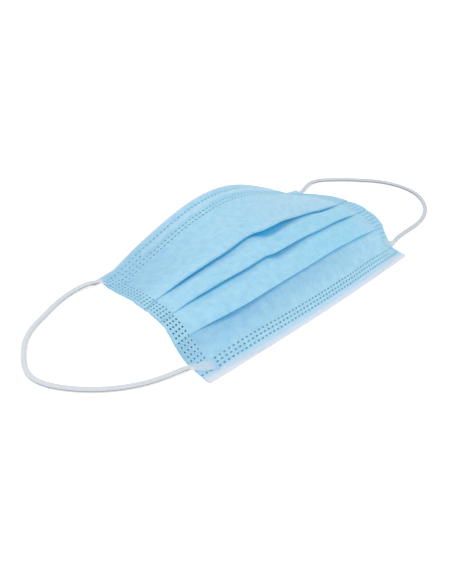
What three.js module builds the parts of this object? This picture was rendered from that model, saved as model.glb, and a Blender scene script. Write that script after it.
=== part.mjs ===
// A pleated surgical face mask that lies on its inner side, with its two ear loops beside it.
// Millimetres, +X along the mask, +Y from the front edge to the nose-wire edge, +Z up.
import * as THREE from 'three';

// The whole mask
const maskLength = 175;
const maskHeight = 95;
const archHeight = 23.9;
const plyWall = 1;
const plyGap = 0.35;
const pressedMiddle = 1.4;
const pressedEnds = 2.6;
const pressedSlope = 1.25;

// The white ply folded round the two long edges, measured from each edge
const frontHemWidth = 5.5;
const backHemWidth = 3.8;

// Nose wire
const wireLength = 119;
const wireWidth = 3.5;
const wireThickness = 1;
const wireInset = 7.6;
const wireRamp = 1.2;

// Folds
const innerStep = 0.6;
const innerStepRun = 0.9;
const foldSegments = 3;

// Ear loops
const cordDiameter = 2.6;
const cordSides = 8;
const cordLead = 2;
const cordGap = 0.9;
const weldLength = 13;
const weldWidth = 5.5;
const weldThickness = 1;
const weldOverhang = 1.6;
const frontWeldInset = 12.4;
const backWeldInset = 4.8;
const weldGap = 0.5;

// Number of sections along the mask, and how strongly they crowd towards its ends
const sectionCount = 24;
const sectionCrowding = 0.8;

// Both long edges, as shares of the mask's height, its length or the arch.
const frontEdgeShares = { bow: 0.016 };
const backEdgeShares = { span: 0.967, endDepth: 0.963, middleDepth: 1.025, peakShift: 0.03, bellPower: 1.63 };

// Handles of the section curve, as shares of the mask's height: how far each runs in from its
// edge, and how far it rises. Sections keep the middle's form until close to the ends.
const handleShares = {
  left: { frontRun: 0.5, frontRise: 0.035, backRun: 0.83, backRise: 0.19 },
  middle: { frontRun: 0.2, frontRise: 0.375, backRun: 0.24, backRise: -0.02 },
  right: { frontRun: 0.355, frontRise: 0.02, backRun: 0.88, backRise: 0.36 },
};
const endFormPower = 6;

// Pleats from the front edge back. The lip's place, the fold's depth and the ramp behind it are
// shares of the section's length, the lift is a share of the depth, and the place and reach
// of the opened stretch are shares of half the mask's length.
const pleats = [
  { lipEnds: 0.285, lipMiddle: 0.254, depth: 0.084, ramp: 0.042, lift: 0.2, liftAt: -0.3, liftReach: 0.6 },
  { lipEnds: 0.428, lipMiddle: 0.413, depth: 0.084, ramp: 0.042, lift: 0.2, liftAt: 0.25, liftReach: 0.7 },
  { lipEnds: 0.572, lipMiddle: 0.574, depth: 0.084, ramp: 0.042, lift: 0.36, liftAt: 0.25, liftReach: 0.6 },
];

// Routes of the ear loops on the surface, from the nose-wire edge round to the front edge.
const leftRoute = [
  [-92.6, 88.4, 3], [-98.1, 89.7, 1.9], [-104.5, 89.2, 1.4], [-113, 87, 1.4], [-122.9, 83, 1.4],
  [-132.6, 78.7, 1.4], [-139.6, 73.6, 1.4], [-145.2, 66.6, 1.4], [-149.2, 59, 1.4], [-150.2, 52.4, 1.4],
  [-147.6, 45, 1.4], [-139.6, 35.4, 1.4], [-130, 27.6, 1.4], [-119.4, 21.5, 1.4], [-109.5, 17.6, 1.4],
  [-101.8, 15.6, 1.5], [-95.8, 14, 2.2],
];
const rightRoute = [
  [93.3, 88.6, 2.8], [98.5, 90.1, 2], [103, 90.5, 1.5], [109.4, 89.2, 1.4], [118.4, 84.7, 1.4],
  [127.6, 79.4, 1.4], [136.6, 73.1, 1.4], [146.4, 65.6, 1.4], [153.6, 57.4, 1.4], [158.4, 47.6, 1.4],
  [159, 38, 1.4], [154.6, 29.4, 1.4], [146.6, 22.4, 1.4], [135.6, 17.6, 1.4], [124, 15.6, 1.4],
  [115.6, 15.3, 1.4], [108.2, 15, 1.5], [101.2, 14.4, 1.9], [95.4, 13.5, 2.6],
];
const cordSteps = 44;

// How much of the way to the first lip the blue ply's front panel runs before it meets the fold
const frontPanelShare = 0.8;

// Heights of the layers above the mask's inner face
const innerCentre = plyWall / 2;
const layerStep = plyWall + plyGap;
const outerCentre = innerCentre + innerStep + layerStep;
const returnCentre = outerCentre + layerStep;
const lipCentre = returnCentre + layerStep;
const hemCentre = outerCentre + layerStep;
const foldRadius = layerStep / 2;
const hemRadius = (hemCentre - innerCentre) / 2;
const hemTurn = hemRadius + plyWall / 2;

const cloth = { roughness: 0.9, metalness: 0 };
const blueCloth = new THREE.MeshStandardMaterial({ color: 0xa5d2ee, ...cloth });
const whiteCloth = new THREE.MeshStandardMaterial({ color: 0xe8edf4, ...cloth });
const whiteElastic = new THREE.MeshStandardMaterial({ color: 0xdfe5ed, ...cloth });
const coatedWire = new THREE.MeshStandardMaterial({ color: 0xe2e4e2, roughness: 0.5, metalness: 0 });

const { lerp, smoothstep, clamp } = THREE.MathUtils;

// The section of the mask at one share of its half length, from the front edge to the back.
function sectionCurve(share) {
  const fromMiddle = 1 - share * share;
  const height = maskHeight;
  const peak = share - backEdgeShares.peakShift * fromMiddle;
  const bell = Math.pow(Math.max(Math.cos((peak * Math.PI) / 2), 0), backEdgeShares.bellPower);
  const front = new THREE.Vector3((maskLength / 2) * share, -frontEdgeShares.bow * height * fromMiddle, 0);
  const back = new THREE.Vector3(
    (maskLength / 2) * backEdgeShares.span * share,
    lerp(backEdgeShares.endDepth, backEdgeShares.middleDepth, fromMiddle) * height,
    archHeight * bell,
  );
  const end = share < 0 ? handleShares.left : handleShares.right;
  const blend = Math.pow(Math.abs(share), endFormPower);
  const handle = (name) => lerp(handleShares.middle[name], end[name], blend) * height;
  return new THREE.CubicBezierCurve3(
    front,
    new THREE.Vector3(front.x, front.y + handle('frontRun'), front.z + handle('frontRise')),
    new THREE.Vector3(back.x, back.y - handle('backRun'), back.z + handle('backRise')),
    back,
  );
}

// One section with its two neighbours, which give the surface its slope along the mask.
function makeSection(share) {
  const stride = 0.02;
  const before = clamp(share - stride, -1, 1);
  const after = clamp(share + stride, -1, 1);
  const curve = sectionCurve(share);
  const length = curve.getLength();
  return { share, curve, length, before: sectionCurve(before), after: sectionCurve(after) };
}

// A point of the inner face. Its lowest stretches are pressed flat on the surface below.
function facePoint(curve, along) {
  const point = curve.getPointAt(clamp(along, 0, 1));
  const share = Math.abs(curve.v0.x) / (maskLength / 2);
  const pressed = lerp(pressedMiddle, pressedEnds, Math.pow(share, endFormPower));
  point.z = Math.max(Math.min(point.z, point.z * pressedSlope - pressed), 0);
  return point;
}

// A point at a distance along the section from the front edge, and at a height above its face.
function place(section, distance, height) {
  const along = distance / section.length;
  const reach = plyWall / section.length;
  const slope = facePoint(section.curve, along + reach).sub(facePoint(section.curve, along - reach));
  const run = facePoint(section.after, along).sub(facePoint(section.before, along));
  const up = run.cross(slope).normalize();
  const point = facePoint(section.curve, along).addScaledVector(up, height);
  point.z = Math.max(point.z, 0);
  return point;
}

// A closed wall between two grids of points, joined all round its rim.
function wallGeometry(front, back) {
  const rows = front.length;
  const columns = front[0].length;
  const positions = [...front.flat(), ...back.flat()].flatMap((point) => point.toArray());
  const index = [];
  const quad = (a, b, c, d) => index.push(a, b, c, a, c, d);
  const top = (i, j) => i * columns + j;
  const bottom = (i, j) => rows * columns + top(i, j);
  for (let i = 0; i + 1 < rows; i += 1) {
    for (let j = 0; j + 1 < columns; j += 1) {
      quad(top(i, j), top(i + 1, j), top(i + 1, j + 1), top(i, j + 1));
      quad(bottom(i, j), bottom(i, j + 1), bottom(i + 1, j + 1), bottom(i + 1, j));
    }
    quad(top(i, 0), bottom(i, 0), bottom(i + 1, 0), top(i + 1, 0));
    quad(top(i + 1, columns - 1), bottom(i + 1, columns - 1), bottom(i, columns - 1), top(i, columns - 1));
  }
  for (let j = 0; j + 1 < columns; j += 1) {
    quad(top(0, j + 1), bottom(0, j + 1), bottom(0, j), top(0, j));
    quad(top(rows - 1, j), bottom(rows - 1, j), bottom(rows - 1, j + 1), top(rows - 1, j + 1));
  }
  const geometry = new THREE.BufferGeometry();
  geometry.setAttribute('position', new THREE.Float32BufferAttribute(positions, 3));
  geometry.setIndex(index);
  geometry.computeVertexNormals();
  return geometry;
}

// The two faces of a ply, half a wall to either side of its path of [distance, height] points.
function plyFaces(path) {
  const face = [];
  const back = [];
  path.forEach(([distance, height], k) => {
    const before = path[Math.max(k - 1, 0)];
    const after = path[Math.min(k + 1, path.length - 1)];
    const run = new THREE.Vector2(after[0] - before[0], after[1] - before[1]).normalize();
    const half = plyWall / 2;
    face.push([distance - run.y * half, height + run.x * half]);
    back.push([distance + run.y * half, height - run.x * half]);
  });
  return { face, back };
}

// A ply as a closed wall, from the path that it takes through each section.
function plyGeometry(sections, pathThrough) {
  const faceGrid = [];
  const backGrid = [];
  for (const section of sections) {
    const { face, back } = plyFaces(pathThrough(section));
    faceGrid.push(face.map(([distance, height]) => place(section, distance, height)));
    backGrid.push(back.map(([distance, height]) => place(section, distance, height)));
  }
  return wallGeometry(faceGrid, backGrid);
}

function makeSections() {
  const sections = [];
  const widest = Math.sin((sectionCrowding * Math.PI) / 2);
  for (let k = 0; k <= sectionCount; k += 1) {
    const angle = ((2 * k) / sectionCount - 1) * sectionCrowding * (Math.PI / 2);
    sections.push(makeSection(Math.sin(angle) / widest));
  }
  return sections;
}

// Where a pleat's lip, fold and ramp lie in a section, and how far its lip stands open there.
function pleatIn(section, pleat) {
  const fromMiddle = 1 - section.share * section.share;
  const opened = 1 - smoothstep(Math.abs(section.share - pleat.liftAt), 0, pleat.liftReach);
  const depth = pleat.depth * section.length;
  return {
    lip: lerp(pleat.lipEnds, pleat.lipMiddle, fromMiddle) * section.length,
    depth,
    ramp: pleat.ramp * section.length,
    lift: pleat.lift * depth * opened,
  };
}

// Half a turn of a ply, from one layer up to the next, bulging forwards (-1) or back (1).
function foldTurn(distance, height, bulge) {
  const turn = [];
  for (let k = 0; k <= foldSegments; k += 1) {
    const angle = (k / foldSegments - 0.5) * Math.PI;
    turn.push([distance + bulge * foldRadius * Math.cos(angle), height + foldRadius * (1 + Math.sin(angle))]);
  }
  return turn;
}

// Carries a path on to a point in a number of equal steps.
function runTo(path, distance, height, steps) {
  const [from, fromHeight] = path[path.length - 1];
  for (let k = 1; k <= steps; k += 1) {
    path.push([lerp(from, distance, k / steps), lerp(fromHeight, height, k / steps)]);
  }
}

// The height of the ridge that the wire raises, in one section.
function ridgeIn(section) {
  const fromEnd = wireLength / 2 - Math.abs(section.share) * (maskLength / 2);
  const raised = innerCentre + plyWall / 2 + plyGap + wireThickness + plyGap + plyWall / 2 - outerCentre;
  return raised * smoothstep(fromEnd, -2 * wireWidth, 0);
}

// The blue ply: under each lip it turns back, returns to the lip and goes on over itself.
function outerPath(section) {
  const path = [[hemTurn, outerCentre], [frontHemWidth, outerCentre]];
  runTo(path, pleatIn(section, pleats[0]).lip * frontPanelShare, outerCentre, 3);
  for (const pleat of pleats) {
    const { lip, depth, ramp, lift } = pleatIn(section, pleat);
    const innerTurn = lip + depth - foldRadius;
    const behind = lip + depth;
    path.push([lip, outerCentre], [lip + depth / 2, outerCentre]);
    path.push(...foldTurn(innerTurn, outerCentre, 1));
    path.push([lip + depth / 2, returnCentre + lift / 4]);
    path.push(...foldTurn(lip + foldRadius, returnCentre + lift, -1));
    path.push([lip + depth / 2, lipCentre + lift / 3], [behind, lipCentre]);
    path.push([behind + ramp / 2, (lipCentre + outerCentre) / 2], [behind + ramp, outerCentre]);
  }
  const wireAt = section.length - wireInset;
  const ridge = outerCentre + ridgeIn(section);
  const wireSide = wireWidth / 2 + plyGap;
  runTo(path, wireAt - wireSide - wireRamp, outerCentre, 4);
  path.push([wireAt - wireSide, ridge]);
  path.push([wireAt + wireSide, ridge], [wireAt + wireSide + wireRamp, outerCentre]);
  path.push([section.length - hemTurn, outerCentre]);
  return path;
}

// The white ply: a hem over the front edge, stepped panels and a hem over the back edge.
function innerPath(section) {
  const { length } = section;
  const hemTurnSegments = 2 * foldSegments;
  const frontTurn = [];
  const backTurn = [];
  for (let k = 0; k <= hemTurnSegments; k += 1) {
    const angle = (k / hemTurnSegments - 0.5) * Math.PI;
    const inset = hemTurn - hemRadius * Math.cos(angle);
    const height = innerCentre + hemRadius * (1 + Math.sin(angle));
    frontTurn.unshift([inset, height]);
    backTurn.push([length - inset, height]);
  }
  const path = [[frontHemWidth, hemCentre], ...frontTurn];
  path.push([hemTurn + plyGap, innerCentre], [frontHemWidth, innerCentre]);
  runTo(path, pleatIn(section, pleats[0]).lip, innerCentre, 3);
  for (const pleat of pleats) {
    const { lip, depth } = pleatIn(section, pleat);
    const edge = lip + depth;
    runTo(path, edge, innerCentre, 3);
    path.push([edge + innerStepRun, innerCentre + innerStep]);
  }
  runTo(path, length - wireInset - wireWidth, innerCentre, 3);
  path.push([length - wireInset, innerCentre], ...backTurn, [length - backHemWidth, hemCentre]);
  return path;
}

// The flat wire between the two plies.
function wireGeometry() {
  const steps = 14;
  const low = innerCentre + plyWall / 2 + plyGap;
  const top = [];
  const bottom = [];
  for (let k = 0; k <= steps; k += 1) {
    const section = makeSection(((2 * k) / steps - 1) * (wireLength / maskLength));
    const middle = section.length - wireInset;
    const sides = [middle - wireWidth / 2, middle + wireWidth / 2];
    top.push(sides.map((distance) => place(section, distance, low + wireThickness)));
    bottom.push(sides.map((distance) => place(section, distance, low)));
  }
  return wallGeometry(top, bottom);
}

// The welded end of a cord: flat on the mask, and round where it leaves over the side edge.
const weldForm = [
  { along: 0, width: 0.9, thickness: 0.8 },
  { along: 0.12, width: 1, thickness: 1 },
  { along: 0.55, width: 1, thickness: 1 },
  { along: 0.8, width: 0.8, thickness: 1.1 },
  { along: 1, width: 0.62, thickness: 1.5 },
];
const weldAcross = [
  { edge: -1, thickness: 0.6 },
  { edge: -0.6, thickness: 1 },
  { edge: 0.6, thickness: 1 },
  { edge: 1, thickness: 0.6 },
];

// The four welded ends. The slant is how far each moves from its long edge for each millimetre inward.
const loopEnds = [
  { node: 'loop_end_left_top', side: -1, atFront: false, slant: 0.4, overHem: true },
  { node: 'loop_end_left_bottom', side: -1, atFront: true, slant: -0.28, overHem: false },
  { node: 'loop_end_right_top', side: 1, atFront: false, slant: 0.3, overHem: true },
  { node: 'loop_end_right_bottom', side: 1, atFront: true, slant: 0, overHem: false },
];

function weldLow(end) {
  return (end.overHem ? hemCentre : outerCentre) + plyWall / 2 + weldGap;
}

// A station of a weld: its section, its middle there, and how far past the side edge it reaches.
function weldStation(end, along) {
  const out = maskLength / 2 - weldLength + along * (weldLength + weldOverhang);
  const inward = maskLength / 2 - out;
  const section = makeSection(end.side * Math.min(out / (maskLength / 2), 1));
  const inset = (end.atFront ? frontWeldInset : backWeldInset) + end.slant * Math.max(inward, 0);
  const middle = end.atFront ? inset : section.length - inset;
  return { section, middle, beyond: end.side * Math.max(-inward, 0) };
}

function weldGeometry(end) {
  const top = [];
  const bottom = [];
  const low = weldLow(end);
  const stations = end.side < 0 ? [...weldForm].reverse() : weldForm;
  for (const { along, width, thickness } of stations) {
    const { section, middle, beyond } = weldStation(end, along);
    const point = (edge, height) => {
      const spot = place(section, middle + (edge * width * weldWidth) / 2, height);
      spot.x += beyond;
      return spot;
    };
    top.push(weldAcross.map((row) => point(row.edge, low + weldThickness * thickness * row.thickness)));
    bottom.push(weldAcross.map((row) => point(row.edge, low)));
  }
  return wallGeometry(top, bottom);
}

// The centre of a cord's end face, a gap beyond the end of its weld, and a point straight out.
function cordStart(side, atFront) {
  const end = loopEnds.find((row) => row.side === side && row.atFront === atFront);
  const { section, middle } = weldStation(end, 1);
  const lastForm = weldForm[weldForm.length - 1];
  const start = place(section, middle, weldLow(end) + (weldThickness * lastForm.thickness) / 2);
  start.x += side * (weldOverhang + cordGap);
  const straight = start.clone();
  straight.x += side * cordLead;
  return [start, straight];
}

// An elastic cord from one corner of a side to the other, round in section.
function cordGeometry(side, route) {
  const points = route.map(([x, y, z]) => new THREE.Vector3(x, y, z));
  const all = [...cordStart(side, false), ...points, ...cordStart(side, true).reverse()];
  const path = new THREE.CatmullRomCurve3(all, false, 'centripetal');
  const outline = new THREE.Shape();
  for (let k = 0; k < cordSides; k += 1) {
    const angle = ((k + 0.5) * 2 * Math.PI) / cordSides;
    const [x, y] = [(cordDiameter / 2) * Math.cos(angle), (cordDiameter / 2) * Math.sin(angle)];
    if (k === 0) {
      outline.moveTo(x, y);
    } else {
      outline.lineTo(x, y);
    }
  }
  return new THREE.ExtrudeGeometry(outline, { steps: cordSteps, extrudePath: path, curveSegments: 1 });
}

function addPiece(group, name, geometry, material) {
  const mesh = new THREE.Mesh(geometry, material);
  mesh.name = name;
  group.add(mesh);
  return mesh;
}

const group = new THREE.Group();
const mask = new THREE.Group();
group.add(mask);

const sections = makeSections();
addPiece(mask, 'outer_layer', plyGeometry(sections, outerPath), blueCloth);
addPiece(mask, 'inner_layer', plyGeometry(sections, innerPath), whiteCloth);
addPiece(mask, 'nose_wire', wireGeometry(), coatedWire);
for (const end of loopEnds) {
  addPiece(mask, end.node, weldGeometry(end), whiteElastic);
}

// The origin is under the middle of the mask itself.
const extent = new THREE.Box3().setFromObject(mask);
const middle = extent.getCenter(new THREE.Vector3());
group.position.set(-middle.x, -middle.y, -extent.min.z);

addPiece(group, 'ear_loop_left', cordGeometry(-1, leftRoute), whiteElastic);
addPiece(group, 'ear_loop_right', cordGeometry(1, rightRoute), whiteElastic);

export default group;
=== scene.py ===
"""A pleated surgical face mask that lies on its inner side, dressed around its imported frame."""
import math

import bpy
import numpy as np
from mathutils import Matrix, Vector
from mathutils.bvhtree import BVHTree


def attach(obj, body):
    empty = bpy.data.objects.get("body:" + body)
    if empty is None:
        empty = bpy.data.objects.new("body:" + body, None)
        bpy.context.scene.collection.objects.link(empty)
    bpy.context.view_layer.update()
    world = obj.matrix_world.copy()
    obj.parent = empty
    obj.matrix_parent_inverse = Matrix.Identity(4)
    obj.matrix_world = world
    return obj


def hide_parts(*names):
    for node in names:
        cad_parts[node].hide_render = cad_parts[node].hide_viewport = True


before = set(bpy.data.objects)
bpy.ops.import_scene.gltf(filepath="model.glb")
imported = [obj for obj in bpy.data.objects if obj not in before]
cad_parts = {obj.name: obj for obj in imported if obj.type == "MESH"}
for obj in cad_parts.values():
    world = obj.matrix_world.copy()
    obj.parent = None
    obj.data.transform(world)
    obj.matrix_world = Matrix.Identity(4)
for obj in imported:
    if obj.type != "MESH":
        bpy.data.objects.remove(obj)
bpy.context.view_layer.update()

# Sizes in millimetres. The mask is laid out from its front edge and then moved to the frame.
MM = 0.001
MASK_LENGTH = 175.0
MASK_HEIGHT = 95.0
ARCH_HEIGHT = 23.9
HALF = MASK_LENGTH / 2
FRAME_SHIFT = np.array([-0.48, -46.467, 0.0])

# Cloth
PLY_WALL = 0.28
PLY_GAP = 0.16
WELDED_SHARE = 0.36
LAYER_STEP_ENDS = 0.3
LAYER_STEP_MIDDLE = 1.2
WELDED_WIDTH = 8.5
LOOSENING = 19.0
CORNER_RADIUS = 1.6
LOWEST = 0.02
PRESSED_MIDDLE = 1.4
PRESSED_ENDS = 2.6
PRESSED_SLOPE = 1.25
FRONT_HEM_WIDTH = 4.4
HEM_EDGE = 0.04
BACK_HEM_WIDTH = 1.3

# Sections through each ply, which crowd towards the ends
OUTER_STATIONS = 181
INNER_STATIONS = 121
STATION_CROWDING = 0.8

# Nose wire
WIRE_LENGTH = 119.0
WIRE_WIDTH = 3.6
WIRE_INSET = 8.0
WIRE_THICKNESS = 0.8
# How pale the ridge over the wire is tinted: the white wire showing through, and partly a painted highlight
WIRE_PALENESS_AND_HIGHLIGHT = 0.35
RIDGE_SLOPE = 1.1

# Rows of weld marks: distances from the long edges, columns from the side edges
FRONT_ROWS = (6.8, 9.1, 11.3)
ROWS_DRAWN_IN = 0.92
BACK_OUTER_ROW = 4.7
BACK_SHORT_ROW = 8.4
BACK_INNER_ROWS = (11.5, 14.1)
ROW_PITCH = 2.75
SIDE_COLUMNS = (2.3, 4.1, 6.0, 7.9)
SIDE_START = 8.0
SIDE_STOP = 5.5
SIDE_PITCH = 2.65
DASH_SIZE = (1.5, 0.85)
DOT_SIZE = (0.95, 1.05)
ROW_MARGIN = 1.2
GROOVE_DEPTH = 0.13
GROOVE_WIDTH = 0.55

# How deep the welds burn, from 0 to 1: lightest and darkest at the sides, left and right ends of the
# rows, and where along the side the most layers lie under them
SIDE_BURN = {"left": (0.48, 1.0), "right": (0.0, 0.15)}
FRONT_BURN = (0.52, 0.24)
BACK_BURN = (0.52, 0.08)
LAYERS_AT = 34
LAYERS_REACH = 17
SIDE_CHANCE = 0.1
ROW_CHANCE = 0.12

# Ear loops
CORD_WIDTH = 2.6
CORD_THICKNESS = 2.2
WELD_WIDTH = 5.0
WELD_THICKNESS = 0.34
WELD_OVERHANG = 2.0
CORD_LEAD = 1.5
CORD_SIDES = 24
CORD_SPACING = 0.3
# Painted shade laid over each whole loop, by side: the right loop is painted a little greyer
CORD_PAINTED_SHADE = {-1: 0.0, 1: 0.12}

# The knit: how far its stitches stand out, how many run round, their twist and their pitch
STITCH_RELIEF = 0.035
STITCHES_ROUND = 5
STITCH_TWIST = 1.5
STITCH_PITCH = 0.95

# Painted shade on the cord: two grooves along the knit and its underside, in degrees from the cord's top
KNIT_GROOVE = 38
KNIT_GROOVE_WIDTH = 10
KNIT_GROOVE_PAINTED_SHADE = 0.1
PAINTED_UNDERSIDE_SHADE = (58, 112)

# The flat ends: where along them, from the tip out, they widen, thicken, narrow to the cord and round
WELD_GRID = (70, 17)
TIP_WIDENS = (0, 0.12)
TIP_THICKENS = (0, 0.08)
END_NARROWS = (0.62, 1)
END_ROUNDS = (0.66, 1)
RIB_HEIGHT = 0.05
RIB_PITCH = 0.85
RIBS_FADE = (0.55, 0.8)

# The welded ends of the loops: how far from the edge each crosses the side, how far it moves from
# that edge for each millimetre inward, how far back it moves for each millimetre outward, how far inward
# it runs, how much of the cloth's blue it shows, and whether the grid of welds is stamped through it
LOOP_ENDS = (
    {"node": "loop_end_left_top", "side": -1, "at_front": False,
     "inset": 3.2, "slant": 0.9, "lead": 0.1, "run": 11.5, "blue": 1.0, "stamped": True},
    {"node": "loop_end_left_bottom", "side": -1, "at_front": True,
     "inset": 12.2, "slant": -0.45, "lead": 0.45, "run": 11.5, "blue": 0.45, "stamped": False},
    {"node": "loop_end_right_top", "side": 1, "at_front": False,
     "inset": 5.4, "slant": 0.3, "lead": 0.3, "run": 12.0, "blue": 0.95, "stamped": False},
    {"node": "loop_end_right_bottom", "side": 1, "at_front": True,
     "inset": 13.4, "slant": 0.15, "lead": 0.1, "run": 10.0, "blue": 0.7, "stamped": False},
)

FRONT_EDGE = {"bow": 0.016}
BACK_EDGE = {"span": 0.967, "end_depth": 0.963, "middle_depth": 1.025, "peak_shift": 0.03, "bell_power": 1.63}

# Handles of the section curve, as shares of the mask's height
HANDLES = {
    "left": {"front_run": 0.5, "front_rise": 0.035, "back_run": 0.83, "back_rise": 0.19},
    "middle": {"front_run": 0.2, "front_rise": 0.375, "back_run": 0.24, "back_rise": -0.02},
    "right": {"front_run": 0.355, "front_rise": 0.02, "back_run": 0.88, "back_rise": 0.36},
}
END_FORM_POWER = 3

# Pleats from the front edge back: the lip's place at each station and the fold's depth, as shares of
# the section's length. Lifts are in millimetres, and their places and reaches are shares of half the
# length. Before its kink a lip is drawn back, and past it the lip stands open over the opening's reach.
LIP_STATIONS = (-1, -0.85, -0.6, -0.3, 0, 0.3, 0.6, 0.85, 1)
PLEATS = (
    {"lip": (0.296, 0.267, 0.257, 0.253, 0.256, 0.264, 0.260, 0.257, 0.256), "depth": 0.085,
     "lift": 1.7, "lift_at": -0.62, "lift_reach": 0.42,
     "kink_at": 0.0, "kink_back": 0.0, "open": 0.0, "open_reach": 0.4},
    {"lip": (0.442, 0.430, 0.418, 0.402, 0.407, 0.400, 0.413, 0.414, 0.418), "depth": 0.085,
     "lift": 0.8, "lift_at": -0.45, "lift_reach": 0.6,
     "kink_at": -0.19, "kink_back": 0.7, "open": 1.9, "open_reach": 0.5},
    {"lip": (0.572, 0.579, 0.558, 0.555, 0.552, 0.547, 0.540, 0.559, 0.562), "depth": 0.085,
     "lift": 1.0, "lift_at": -0.45, "lift_reach": 0.6,
     "kink_at": -0.115, "kink_back": 1.3, "open": 4.4, "open_reach": 0.5},
)
LIP_SMOOTHING = (-0.1, -0.05, 0.0, 0.05, 0.1)
LIP_LEAN = 0.75
PULL_AT = -0.05
PULL_REACH = 0.12
PULL_ENDS = (-0.01, 0.035)
OPENING_RISES = (-0.03, 0.07)
OPENING_FALLS = 0.06
LIFT_BEHIND = 0.15
SETTLING_RUN = 15

# The cloth's own unevenness: height, wave numbers along and across the mask, and phase, then one
# wave crossed by another, and the puckers beside the side welds
WAVES = ((0.16, 0.21, 0.09, 0.6), (0.12, 0.13, -0.23, 2.1))
CROSSED_WAVE = {"height": 0.08, "along": (0.37, 1.3), "across": (0.31, 0.4)}
PUCKER = {"height": 0.10, "from_weld": 2, "reach": 6.0, "pitch": 5.3, "phase": 0.8}
SETTLED_EDGE = (3, 16)

# Painted shade on the cloth: a deeper blue at the lips, a painted tint of light bounced between the folds
# on the panels between them, and painted grey shade in places, by distance from a lip in millimetres
# and share of half the length
PAINTED_FOLD_SHADE_REACH = 1.4
PAINTED_PANEL_BOUNCE = (0.05, 0.2)
PAINTED_PANEL_BOUNCE_RISES = (-0.3, 0.35)
# Painted grey shade: how much of it lies below the lowest lip, above the highest and along the cut ends
PAINTED_DIM_BELOW = {"most": 0.7, "distance": (3, 17), "share": (0.1, 0.8)}
PAINTED_DIM_ABOVE = {"most": 0.6, "distance": (4, 14), "share": (-0.85, -0.2)}
PAINTED_DIM_AT_CUT = {"most": 0.9, "share": (0.991, 1.0)}

# Where the cloth shows paler, in millimetres from an edge or from the wire; along the wire partly as a
# painted highlight on its ridge
PALE_FRONT = (4.0, 6.6)
PALE_BACK = (0.8, 2.4)
PALE_BACK_MOST = 0.6
PALE_WIRE_AND_HIGHLIGHT = (1.0, 2.3)
HEM_TINT_FRONT = 0.6
HEM_TINT_BACK = 0.4

# Routes of the ear loops on the surface, from the nose-wire edge round to the front edge
LEFT_ROUTE = [
    (-92.6, 88.4, 3), (-98.1, 89.7, 1.9), (-104.5, 89.2, 1.4), (-113, 87, 1.4), (-122.9, 83, 1.4),
    (-132.6, 78.7, 1.4), (-139.6, 73.6, 1.4), (-145.2, 66.6, 1.4), (-149.2, 59, 1.4), (-150.2, 52.4, 1.4),
    (-147.6, 45, 1.4), (-139.6, 35.4, 1.4), (-130, 27.6, 1.4), (-119.4, 21.5, 1.4), (-109.5, 17.6, 1.4),
    (-101.8, 15.6, 1.5), (-95.8, 14, 2.2),
]
RIGHT_ROUTE = [
    (93.3, 88.6, 2.8), (98.5, 90.1, 2), (103, 90.5, 1.5), (109.4, 89.2, 1.4), (118.4, 84.7, 1.4),
    (127.6, 79.4, 1.4), (136.6, 73.1, 1.4), (146.4, 65.6, 1.4), (153.6, 57.4, 1.4), (158.4, 47.6, 1.4),
    (159, 38, 1.4), (154.6, 29.4, 1.4), (146.6, 22.4, 1.4), (135.6, 17.6, 1.4), (124, 15.6, 1.4),
    (115.6, 15.3, 1.4), (108.2, 15, 1.5), (101.2, 14.4, 1.9), (95.4, 13.5, 2.6),
]

# Camera: its place, its turn, its dip and its roll in degrees, and the photograph's frame
CAMERA_PLACE = np.array([-252.9, -126.9, 234.1])
CAMERA_TURN = -51.914
CAMERA_DIP = -39.276
CAMERA_ROLL = 11.059
FOCAL_PIXELS = 654.4
PHOTO_HEIGHT = 563
SENSOR = 36.0

# The room lights the mask softly, and shows white behind it
ROOM_LIGHT = 0.7


def lerp(a, b, t):
    return a + (b - a) * t


def smoothstep(value, low, high):
    t = np.clip((value - low) / (high - low), 0, 1)
    return t * t * (3 - 2 * t)


# The surface that the mask's inner face follows

def bezier_corners(share):
    """The four control points of the section at a share of the half length."""
    from_middle = 1 - share * share
    peak = share - BACK_EDGE["peak_shift"] * from_middle
    bell = max(math.cos(peak * math.pi / 2), 0) ** BACK_EDGE["bell_power"]
    front = np.array([HALF * share, -FRONT_EDGE["bow"] * MASK_HEIGHT * from_middle, 0])
    depth = lerp(BACK_EDGE["end_depth"], BACK_EDGE["middle_depth"], from_middle) * MASK_HEIGHT
    back = np.array([HALF * BACK_EDGE["span"] * share, depth, ARCH_HEIGHT * bell])
    end = HANDLES["left"] if share < 0 else HANDLES["right"]
    blend = abs(share) ** END_FORM_POWER
    handle = {k: lerp(HANDLES["middle"][k], end[k], blend) * MASK_HEIGHT for k in end}
    return (
        front,
        front + np.array([0, handle["front_run"], handle["front_rise"]]),
        back + np.array([0, -handle["back_run"], handle["back_rise"]]),
        back,
    )


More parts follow.
